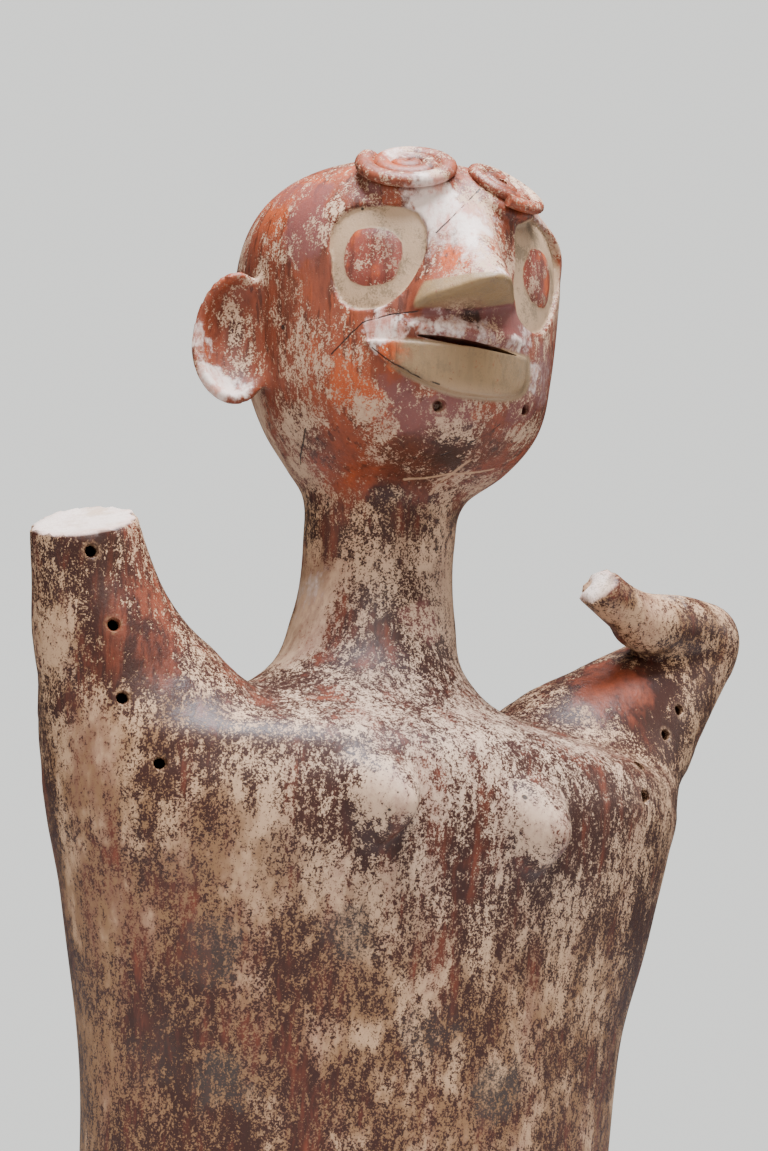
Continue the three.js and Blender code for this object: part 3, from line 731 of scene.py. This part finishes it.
clayPaint = {  # linear colours, and soft patches as x, y, z, reach, amount in millimetres
    "cream": (0.51, 0.315, 0.185), "paleCream": (0.58, 0.42, 0.32), "tan": (0.25, 0.132, 0.063),
    "chalk": (0.72, 0.58, 0.51), "pink": (0.52, 0.23, 0.18), "maroon": (0.04, 0.0125, 0.0085),
    "brick": (0.215, 0.05, 0.024), "orange": (0.43, 0.078, 0.02), "brown": (0.026, 0.0115, 0.0065),
    "mauve": (0.17, 0.058, 0.052), "eyeWhite": (0.41, 0.27, 0.165), "dirt": (0.17, 0.115, 0.066),
    # the lower lip's and the nose underside's colours on the next row are darkened as painted shade, as both
    # face down
    "lip": (0.25, 0.158, 0.082), "shadedNoseUnder": (0.25, 0.155, 0.072), "smudge": (0.05, 0.038, 0.032),
    # the colour inside the holes on the next row is near-black painted shade
    "bareClay": (0.13, 0.07, 0.041), "holeShade": (0.016, 0.009, 0.006), "iris": (0.22, 0.05, 0.034),
    "crack": (0.014, 0.008, 0.006), "crackWidth": 0.6, "scratchWidth": 1.3, "holeRim": (2.8, 0.9),
    "head": (432, 458), "bodyMottle": 0.5, "headMottle": 0.9, "bodySlip": 0.017, "headSlip": 0.055,
    "bodyWarm": -0.105, "headWarm": 0.04, "edge": 0.033,  # the head's slip is thicker and warmer
    "shake": 40, "shakeScale": 0.06, "quiver": 0.07, "scrapeTurn": (0.3, 0.65, 0.2), "scrapeLength": 14,
    "uprightStretch": (1, 1, 0.6), "strokeStretch": (1, 1, 0.16),
    "noises": {  # scale, detail, roughness
        "broad": (0.018, 2.0, 0.5), "grit": (1.0, 3.0, 0.7), "uneven": (0.09, 3.0, 0.5),
        "mid": (0.06, 3.0, 0.6), "flake": (0.33, 5.0, 0.7), "hue": (0.045, 4.0, 0.6),
        "streak": (0.4, 3.0, 0.6), "brush": (0.16, 4.0, 0.65), "scrape": (0.8, 2.0, 0.5)},
    "edges": {  # where a layer begins and where it is full
        "scrape": (0.6, 0.72), "brick": (0.4, 0.56), "orange": (0.53, 0.7), "brown": (0.5, 0.72),
        "maroon": (0.52, 0.64), "mauve": (0.1, 0.55), "dark": (0.14, 0.7), "tan": (0.42, 0.64),
        # the first two ramps on the next row turn the bare clay tan towards the bottom of the body and on
        # its left side: painted shade
        "lowBodyShade": (300, 110), "flankShade": (130, 50), "chest": (150, 50), "stain": (0.45, 0.62),
        "pale": (0.24, 0.78), "powder": (0.4, 0.52), "dirt": (-0.02, 0.16), "iris": (0.3, 0.44),
        "irisBrush": (0.48, 0.62), "irisWorn": (0.53, 0.57), "faceWorn": (0.58, 0.62),
        "lipStreak": (0.5, 0.64), "lipFoot": (-16, -23), "lipEnd": (-34, -20),
        "grain": (0.38, 0.54), "smudge": (0.05, 0.8), "breakDepth": (-2.2, -0.9), "breakReach": (38, 34),
        "breakTone": (0.45, 0.65), "breakDirt": (0.5, 0.58), "rimWorn": (0.46, 0.52)},
    "patchCore": 0.35, "lineCore": 0.4, "pitCore": 0.6,  # full inside this share of the reach
    "specular": 0.3, "plainRoughness": 0.85, "bumpStrength": 0.5, "bumpDistance": 0.0008,
    # the second point on the next row centres the painted shade on the left side of the body
    "chest": (0, -85, 335), "flankShade": (-150, -40, 190),
    "orangePatches": [
        (-8, -100, 563, 18, 0.08), (-44, -50, 603, 24, 0.08), (-160, -40, 372, 52, 0.045),
        (-75, -11, 584, 34, 0.12), (-66, -51, 509, 30, 0.06), (-59, -56, 487, 18, 0.1),
        (-51, -62, 477, 12, 0.16), (-25, -99, 551, 18, 0.1), (-41, 8, 391, 24, 0.14),
        (-37, 13, 413, 20, 0.12), (-48, 5, 368, 22, 0.12), (-37, -24, 448, 20, 0.06),
        (-32, -21, 437, 18, 0.06), (-150, -44, 372, 16, 0.06), (-146, -48, 345, 14, 0.04),
        (126, -28, 365, 34, 0.14), (-49, -79, 499, 9, 0.3), (-56, -51, 340, 18, 0.1),
        (60, 20, 560, 40, 0.08), (30, 80, 540, 45, 0.08), (-40, 75, 520, 35, 0.08)],
    "mauvePatches": [
        # the first two mauve patches are painted shadow under the nose
        (-18, -96, 518, 24, 0.9), (10, -96, 519, 22, 0.8), (-15, -83, 472, 24, 0.6),
        (-38, -73, 474, 20, 0.5), (25, -86, 487, 20, 0.6), (42, -79, 504, 24, 0.5),
        (-76, -35, 564, 24, 0.6), (-72, -28, 588, 20, 0.5), (-55, -64, 580, 12, 0.5),
        (-23, -84, 477, 9, 0.7), (-79, -94, 285, 24, 0.12), (-1, -41, 381, 20, 0.5),
        (-68, -4, 595, 18, 0.4)],
    "darkAndShadePatches": [
        # the first three dark patches are painted shade under the nose and under the chin
        (-16, -95, 520, 10, 0.5), (-16, -59, 455, 34, 0.45), (9, -73, 463, 30, 0.4),
        (-77, -25, 532, 16, 0.4), (-62, -20, 470, 20, 0.5), (-174, -37, 396, 20, 0.4),
        # the first two on the next row are painted shade below the near breast and on the left upper arm
        # under the forearm
        (-56, -106, 268, 16, 0.35), (152, -42, 350, 32, 0.3), (-90, 30, 540, 30, 0.2)],
    "palePatches": [
        (-24, -91, 565, 26, 0.5), (-32, -82, 578, 22, 0.55), (-12, -94, 574, 22, 0.38),
        # the last on the next row lightens the left edge of the neck: cream flakes and painted light
        (-17, -109, 550, 16, 0.5), (-12, -118, 541, 10, 0.5), (-41, 4, 394, 24, 0.42),
        (-51, -74, 512, 17, 0.8), (-36, -89, 513, 12, 0.4), (43, -78, 502, 22, 0.3),
        (20, -90, 515, 12, 0.4), (-25, -98, 513, 12, 0.5), (-8, -99, 512, 12, 0.45),
        (10, -96, 511, 12, 0.4), (31, -85, 501, 10, 0.4), (32, -84, 489, 9, 0.2),
        (-100, 0, 490, 20, 0.8), (-107, 7, 513, 12, 0.5), (37, -77, 582, 14, 0.3),
        (203, -31, 400, 16, 0.2), (160, -30, 412, 16, 0.35), (-36, -56, 610, 20, 0.5)],
    "wornAndLitPatches": [
        (-176, -30, 298, 38, 0.06), (-161, -18, 236, 40, 0.05), (-183, -20, 353, 26, 0.09),
        # the last two on the next row thin the slip on the left of the neck: wear, and painted light on its
        # lit edge
        (15, -35, 400, 24, 0.05), (-40, 2, 402, 28, 0.12), (-46, -2, 372, 28, 0.1),
        (146, -43, 393, 36, 0.045), (-22, -95, 317, 40, 0.04), (-60, -113, 288, 22, 0.095),
        (22, -114, 281, 20, 0.075), (195, -28, 398, 26, 0.04)],
    "slipAndShadePatches": [
        (-156, -42, 355, 40, 0.05), (-130, -20, 352, 30, 0.045), (-150, -20, 385, 24, 0.04),
        # the second and third on the next row add maroon slip below the breasts as painted shade
        (-79, -94, 285, 24, 0.03), (-57, -104, 264, 18, 0.09), (27, -104, 257, 16, 0.06),
        (-60, -40, 588, 40, 0.05), (-82, -8, 556, 40, 0.04), (125, -62, 227, 46, 0.04),
        (132, -66, 302, 34, 0.03), (-131, -50, 193, 36, 0.04), (-170, -37, 396, 30, 0.05),
        (-33, -90, 175, 40, 0.02), (-16, -59, 452, 34, 0.07), (-75, -11, 588, 40, 0.06),
        (126, -28, 365, 32, 0.11), (140, -38, 350, 36, 0.07), (158, -36, 355, 34, 0.05),
        (140, -48, 335, 34, 0.03)],
    "smudges": [
        (23, -90, 158, 22, 0.8), (-63, -90, 228, 22, 0.6), (-110, -61, 156, 20, 0.7),
        (-120, -64, 216, 22, 0.6), (-18, -92, 180, 22, 0.5), (-140, -45, 168, 30, 0.45),
        (-132, -52, 250, 24, 0.3)],
    "pits": [  # dark dots, the last figure is the radius
        (-62, -115, 280, 0.9), (-57, -116, 290, 0.7), (19, -107, 292, 1.7), (-57, -60, 574, 1.0),
        (-76, -22, 519, 1.6), (-157, -40, 373, 0.8)],
    "cracks": [
        ((-6, -86, 587), (-18, -89, 575)), ((-18, -89, 575), (-31, -87, 561)),
        ((-57, -66, 516), (-65, -51, 502)), ((-61, -24, 470), (-51, -2, 457)),
        ((-9, -67, 458), (13, -84, 474)), ((-55, -72, 503), (-46, -81, 492)),
        ((-46, -81, 492), (-28, -91, 486)), ((-57, -66, 516), (-38, -85, 523))],
    "scratches": [
        ((-15, -44, 448), (4, -54, 452)), ((4, -54, 452), (28, -57, 458)),
        ((2, -42, 444), (8, -66, 458))],
}


class Wire:  # an output of a shader node; arithmetic on it adds nodes
    def __init__(self, tree, socket):
        self.tree, self.socket = tree, socket

    def node(self, kind, settings, inputs, output=0):
        made = self.tree.nodes.new(kind)
        for name, value in settings.items():
            setattr(made, name, value)
        for key, value in inputs.items():
            if isinstance(value, Wire):
                self.tree.links.new(value.socket, made.inputs[key])
            else:
                made.inputs[key].default_value = value
        return Wire(self.tree, made.outputs[output])

    def maths(self, operation, *values):
        return self.node("ShaderNodeMath", {"operation": operation}, dict(enumerate(values)))

    def vector(self, operation, other, output=0):
        return self.node("ShaderNodeVectorMath", {"operation": operation}, {0: self, 1: other}, output)

    def __add__(self, other):
        return self.maths("ADD", self, other)

    def __sub__(self, other):
        return self.maths("SUBTRACT", self, other)

    def __rsub__(self, other):
        return self.maths("SUBTRACT", other, self)

    def __mul__(self, other):
        return self.maths("MULTIPLY", self, other)

    def __truediv__(self, other):
        return self.maths("DIVIDE", self, other)

    __radd__, __rmul__ = __add__, __mul__

    def apartFrom(self, point):
        return self.vector("DISTANCE", point, "Value")

    def ramp(self, low, high):  # 0 at low, 1 at high, eased
        return self.node("ShaderNodeMapRange", {"interpolation_type": "SMOOTHSTEP"},
                         {"Value": self, "From Min": low, "From Max": high})

    def noise(self, scale, detail, roughness):
        return self.node("ShaderNodeTexNoise", {}, {
            "Vector": self, "Scale": scale, "Detail": detail, "Roughness": roughness})

    def toward(self, other, share):  # this colour mixed into another
        other = other if isinstance(other, Wire) else (*other, 1)
        return self.node("ShaderNodeMix", {"data_type": "RGBA"}, {0: share, 6: self, 7: other}, 2)


def patchSum(place, patches):
    total = 0.0
    for x, y, z, reach, amount in patches:
        total = total + amount * place.apartFrom((x, y, z)).ramp(reach, reach * clayPaint["patchCore"])
    return total


def linesNear(place, lines, width):  # 1 on thin lines over the surface
    total = 0.0
    for start, end in lines:
        middle = [(i + j) / 2 for i, j in zip(start, end)]
        stops = onSurface(np.array([start, middle, end], float), vesselField, rounds=4)
        for a, b in zip(stops[:-1], stops[1:]):
            along = Vector(b - a)
            offset = place.vector("SUBTRACT", a)
            share = offset.vector("DOT_PRODUCT", along / along.length_squared, "Value")
            share = share.node("ShaderNodeClamp", {}, {"Value": share})
            foot = share.node("ShaderNodeVectorMath", {"operation": "SCALE"}, {0: along, "Scale": share})
            total = total + offset.apartFrom(foot).ramp(width, width * clayPaint["lineCore"])
    return total


def skinPlane(place, bearing, z):
    axes, at = skinFrame(bearing, z)
    offset = place.vector("SUBTRACT", at)
    return [offset.vector("DOT_PRODUCT", axis, "Value") for axis in axes]


def squareOutline(across, high):  # 1 on a square with round corners, less inside it
    ways = [way.maths("POWER", way.maths("ABSOLUTE", way), eyes["squareness"]) for way in (across, high)]
    return ways[0] + ways[1]


def eyePaint(place, uneven, where):  # masks of the white and of the pupil
    bearing, z, halfWidth, halfHeight, shift = where
    u, v, off = skinPlane(place, bearing, z)
    near = off.ramp(*eyes["paintDepth"])  # not on the far side of the head
    wide = halfWidth * (1 + eyes["topWiden"] / halfHeight * v)
    below = 0 - v
    foot = (shift / halfHeight) * below.maths("MAXIMUM", below, 0)
    outline = squareOutline((u - foot) / wide, v / halfHeight)
    pupil = squareOutline((u - eyes["pupilShift"]) / eyes["pupilHalf"], v / eyes["pupilHalf"])
    white = (outline + eyes["whiteWobble"] * uneven).ramp(*eyes["whiteEdge"])
    iris = (pupil + eyes["irisWobble"] * uneven).ramp(*eyes["irisEdge"])
    return white * near, iris * near


def breakFace(place, limb):  # 1 on the broken end of a limb
    offset = place.vector("SUBTRACT", limb["path"][-1])
    out = offset.vector("DOT_PRODUCT", unit(limb["breakNormal"]), "Value")
    near = offset.vector("LENGTH", (0, 0, 0), "Value").ramp(*clayPaint["edges"]["breakReach"])
    return out.ramp(*clayPaint["edges"]["breakDepth"]) * near


def between(wire, share, first, second):  # a mix of two plain colours
    return wire.node("ShaderNodeMix", {"data_type": "RGBA"}, {0: share, 6: (*first, 1), 7: (*second, 1)}, 2)


def marked(wire, name):  # a mask stored on the mesh
    return wire.node("ShaderNodeAttribute", {"attribute_name": name}, {}, "Fac")


def newPaint(name):
    material = bpy.data.materials.new(name)
    material.use_nodes = True
    return material, material.node_tree.nodes["Principled BSDF"]


def wornSlip():
    paint, edges, noises = clayPaint, clayPaint["edges"], clayPaint["noises"]
    material, shader = newPaint("wornSlip")
    tree = material.node_tree
    here = Wire(tree, tree.nodes.new("ShaderNodeTexCoord").outputs["Object"])
    place = here.vector("MULTIPLY", [1 / mm] * 3)
    height = place.node("ShaderNodeSeparateXYZ", {}, {0: place}, "Z")
    upright, strokes = [place.vector("MULTIPLY", paint[k]) for k in ("uprightStretch", "strokeStretch")]
    slanted = place.node("ShaderNodeMapping", {"vector_type": "TEXTURE"}, {
        "Vector": place, "Rotation": paint["scrapeTurn"], "Scale": (1, 1, paint["scrapeLength"])})
    shake = place.node("ShaderNodeTexNoise", {}, {
        "Vector": place, "Scale": paint["shakeScale"], "Detail": 5.0, "Roughness": 0.65}, "Color")
    shake = shake.vector("SUBTRACT", (0.5, 0.5, 0.5)).vector("MULTIPLY", [paint["shake"]] * 3)
    warped = place.vector("ADD", shake)
    quiver = place.node("ShaderNodeMix", {"data_type": "VECTOR"}, {
        0: paint["quiver"], 4: place, 5: warped}, 1)
    broad, grit, uneven = [place.noise(*noises[k]) for k in ("broad", "grit", "uneven")]
    mid, flake = [upright.noise(*noises[k]) for k in ("mid", "flake")]
    hue, streak, brush = [strokes.noise(*noises[k]) for k in ("hue", "streak", "brush")]
    scrape = slanted.noise(*noises["scrape"])
    uneven = uneven - 0.5
    onHead = height.ramp(*paint["head"])
    # how much slip is left
    fine = 0.45 * flake + 0.55 * grit
    mottle = paint["bodyMottle"] + (paint["headMottle"] - paint["bodyMottle"]) * onHead
    cover = fine + mottle * (0.5 * broad + 0.5 * mid - 0.5) + 0.15 * (streak - 0.5)
    cover = cover + paint["bodySlip"] + (paint["headSlip"] - paint["bodySlip"]) * onHead
    # slip patches include painted shade below the breasts; worn patches include painted light on the left of
    # the neck
    cover = cover + patchSum(warped, paint["slipAndShadePatches"]) - patchSum(warped, paint["wornAndLitPatches"])
    cover = cover - 0.05 * scrape.ramp(*edges["scrape"])
    slip = cover.ramp(0.5 - paint["edge"], 0.5 + paint["edge"])
    # slip colour, brushed on
    warm = 0.35 * hue + 0.2 * mid + 0.2 * streak + 0.25 * brush + patchSum(warped, paint["orangePatches"])
    warm = warm + paint["bodyWarm"] + (paint["headWarm"] - paint["bodyWarm"]) * onHead
    colour = between(place, warm.ramp(*edges["brick"]), paint["maroon"], paint["brick"])
    colour = colour.toward(paint["orange"], warm.ramp(*edges["orange"]))
    colour = colour.toward(paint["brown"], streak.ramp(*edges["brown"]) * 0.4)
    colour = colour.toward(paint["maroon"], onHead * brush.ramp(*edges["maroon"]) * 0.75)
    # mauve patches, two of them painted shadow under the nose
    mauve = patchSum(warped, paint["mauvePatches"]) + 0.6 * (mid - 0.5)
    colour = colour.toward(paint["mauve"], mauve.ramp(*edges["mauve"]) * 0.85)
    # dark patches, some of them painted shade under the nose, the chin, the near breast and the left upper
    # arm
    dark = patchSum(warped, paint["darkAndShadePatches"]) + 0.8 * (hue - 0.5) + 0.4 * (flake - 0.5)
    colour = colour.toward(paint["brown"], dark.ramp(*edges["dark"]) * 0.9)
    # bare clay between the flakes, stained by the slip and palest on the chest; it also turns tan towards
    # the bottom of the body and on its left side, which is painted shade
    flankShade = place.apartFrom(paint["flankShade"]).ramp(*edges["flankShade"])
    tan = mid + 0.12 * height.ramp(*edges["lowBodyShade"]) + 0.14 * flankShade
    clay = between(place, tan.ramp(*edges["tan"]), paint["cream"], paint["tan"])
    chest = place.apartFrom(paint["chest"]).ramp(*edges["chest"])
    clay = clay.toward(paint["paleCream"], chest * 0.6 + onHead * 0.3)
    clay = clay.toward(paint["mauve"], (0.5 * flake + 0.5 * hue).ramp(*edges["stain"]) * 0.45)
    colour = clay.toward(colour, slip)
    # pale patches, one of them painted light on the left edge of the neck
    pale = patchSum(warped, paint["palePatches"]) + 0.9 * (flake - 0.5) + 0.7 * (mid - 0.5)
    powder = (0.3 * flake + 0.5 * mid + 0.2 * brush).ramp(*edges["powder"])
    chalk = between(place, powder, paint["pink"], paint["chalk"])
    colour = colour.toward(chalk, pale.ramp(*edges["pale"]) * 0.92)
    # painted eyes, lips and the bare underside of the nose; the lower lip and the nose's underside are also
    # darkened as painted shade
    dirt = (uneven + 0.7 * (grit - 0.5)).ramp(*edges["dirt"])
    for where in eyes["places"]:
        white, pupil = eyePaint(place, uneven, where)
        ring = between(place, dirt * 0.75, paint["eyeWhite"], paint["dirt"])
        colour = colour.toward(ring, white * (1 - pupil))
        iris = between(place, (hue + 0.8 * uneven).ramp(*edges["iris"]), paint["orange"], paint["iris"])
        iris = iris.toward(paint["maroon"], brush.ramp(*edges["irisBrush"]) * 0.5)
        colour = colour.toward(iris.toward(clay, (fine + 0.5 * uneven).ramp(*edges["irisWorn"])), pupil)
    kept = 1 - 0.6 * fine.ramp(*edges["faceWorn"])
    u, v = skinPlane(place, lowerLip["bearing"], lowerLip["top"])[:2]
    soiled = (dirt + 0.5 * streak.ramp(*edges["lipStreak"])) * 0.6
    # the lower lip's colour is darkened as painted shade, as it faces down
    lip = between(place, soiled, paint["lip"], paint["dirt"])
    lip = lip.toward(paint["eyeWhite"], v.ramp(*edges["lipFoot"]) * 0.5)
    onLip = marked(place, "lowerLip") * (u + 30 * uneven).ramp(*edges["lipEnd"])
    colour = colour.toward(lip, onLip * kept)
    # the nose's bare underside is darkened as painted shade, as it faces down
    bare = between(place, dirt * 0.5, paint["shadedNoseUnder"], paint["dirt"])
    colour = colour.toward(bare, marked(place, "underNose") * kept)
    scratches = linesNear(quiver, paint["scratches"], paint["scratchWidth"])
    colour = colour.toward(paint["cream"], scratches * 0.8)
    smudge = patchSum(warped, paint["smudges"]) * fine.ramp(*edges["grain"])
    colour = colour.toward(paint["smudge"], smudge.ramp(*edges["smudge"]) * 0.8)
    # broken ends, hole rims, pits and cracks
    for limb, stain in ((rightArm, 0.15), (leftHand, 0.6)):
        broken = between(place, mid.ramp(*edges["breakTone"]), paint["chalk"], paint["paleCream"])
        rim = place.apartFrom(limb["path"][-1]) + 12 * uneven
        radius = limb["radii"][-1]
        broken = broken.toward(paint["pink"], rim.ramp(radius - 5, radius) * 0.4)
        broken = broken.toward(paint["dirt"], fine.ramp(*edges["breakDirt"]) * stain)
        colour = colour.toward(broken, breakFace(place, limb))
    for at, _, radius in holePlaces():
        rim = quiver.apartFrom(at).ramp(*[radius + more for more in paint["holeRim"]])
        colour = colour.toward(clay, rim * (0.6 - 0.5 * fine.ramp(*edges["rimWorn"])))
    cracks = linesNear(quiver, paint["cracks"], paint["crackWidth"])
    for x, y, z, radius in paint["pits"]:
        at = onSurface(np.array([(x, y, z)], float), vesselField, rounds=4)[0]
        cracks = cracks + quiver.apartFrom(at).ramp(radius, radius * paint["pitCore"])
    colour = colour.toward(paint["crack"], cracks * 0.9)
    shader.inputs["Specular IOR Level"].default_value = paint["specular"]
    tree.links.new(colour.socket, shader.inputs["Base Color"])
    tree.links.new((0.62 - 0.2 * slip + 0.2 * (flake - 0.5)).socket, shader.inputs["Roughness"])
    relief = 0.9 * flake + 0.3 * grit - 1.2 * cracks
    bump = relief.node("ShaderNodeBump", {}, {
        "Strength": paint["bumpStrength"], "Distance": paint["bumpDistance"], "Height": relief})
    tree.links.new(bump.socket, shader.inputs["Normal"])
    return material


def plainClay(name):  # unpainted clay inside the vessel, and near-black painted shade inside the holes
    material, shader = newPaint(name)
    shader.inputs["Base Color"].default_value = (*clayPaint[name], 1)
    shader.inputs["Roughness"].default_value = clayPaint["plainRoughness"]
    return material


slipCoat = wornSlip()
vesselPiece.data.materials.clear()
# the last colour is near-black painted shade for the holes
for coat in (slipCoat, plainClay("bareClay"), plainClay("holeShade")):
    vesselPiece.data.materials.append(coat)
coilPiece = buildCoils(slipCoat)
print("slip painted")

studio = {
    "azimuth": -32.0, "elevation": -9.0, "roll": 2.6, "distance": 1300, "target": (-4, -11, 406),
    "lens": 81.3, "sensor": 36, "wall": (1.2, 1.21, 1.175), "ambient": 0.1,
    "floorRadius": 1.4, "floorTone": 0.5, "lampAim": (0, 0, 0.4),
    "lamps": [  # place, size, power, colour
        ((-0.1, -0.35, 1.8), 1.0, 105, (0.88, 0.93, 1.0)),
        ((-0.7, -1.5, 1.4), 1.0, 22, (1.0, 0.93, 0.85)),
        ((-1.6, 0.1, 0.7), 0.9, 6, (1.0, 0.95, 0.88)),
        ((1.5, -0.5, 0.9), 1.0, 6, (1.0, 0.93, 0.86))],
}


def addCamera():
    a, e, r = [math.radians(studio[k]) for k in ("azimuth", "elevation", "roll")]
    back = Vector((math.sin(a) * math.cos(e), -math.cos(a) * math.cos(e), math.sin(e)))
    right = (-back).cross(Vector((0, 0, 1))).normalized()
    up = right.cross(-back)
    right, up = math.cos(r) * right + math.sin(r) * up, math.cos(r) * up - math.sin(r) * right
    data = bpy.data.cameras.new("camera")
    data.lens, data.sensor_width = studio["lens"], studio["sensor"]
    camera = linked("camera", data)
    camera.matrix_world = Matrix((right, up, back)).transposed().to_4x4()
    camera.location = (Vector(studio["target"]) + back * studio["distance"]) * mm
    bpy.context.scene.camera = camera


def addStudio():
    made = bmesh.new()
    bmesh.ops.create_circle(made, cap_ends=True, segments=96, radius=studio["floorRadius"])
    floor = madeObject("floor", made)
    paint, shader = newPaint("floorPaint")
    shader.inputs["Base Color"].default_value = (*[studio["floorTone"]] * 3, 1)
    floor.data.materials.append(paint)
    for place, size, power, colour in studio["lamps"]:
        data = bpy.data.lights.new("softLamp", "AREA")
        data.shape, data.size, data.energy, data.color = "DISK", size, power, colour
        lamp = linked("softLamp", data)
        lamp.location = place
        aim = Vector(studio["lampAim"]) - Vector(place)
        lamp.rotation_euler = aim.to_track_quat("-Z", "Y").to_euler()
    world = bpy.data.worlds.new("room")
    world.use_nodes = True
    bpy.context.scene.world = world
    nodes, links = world.node_tree.nodes, world.node_tree.links
    nodes.clear()
    seen, fill = [nodes.new("ShaderNodeBackground") for _ in range(2)]
    mix = nodes.new("ShaderNodeMixShader")
    for shown in (seen, fill):
        shown.inputs["Color"].default_value = (*studio["wall"], 1)
    fill.inputs["Strength"].default_value = studio["ambient"]
    links.new(nodes.new("ShaderNodeLightPath").outputs["Is Camera Ray"], mix.inputs[0])
    links.new(fill.outputs[0], mix.inputs[1])
    links.new(seen.outputs[0], mix.inputs[2])
    links.new(mix.outputs[0], nodes.new("ShaderNodeOutputWorld").inputs["Surface"])


addCamera()
addStudio()
for piece in (vesselPiece, coilPiece):
    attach(piece, "root")
    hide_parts("vessel")
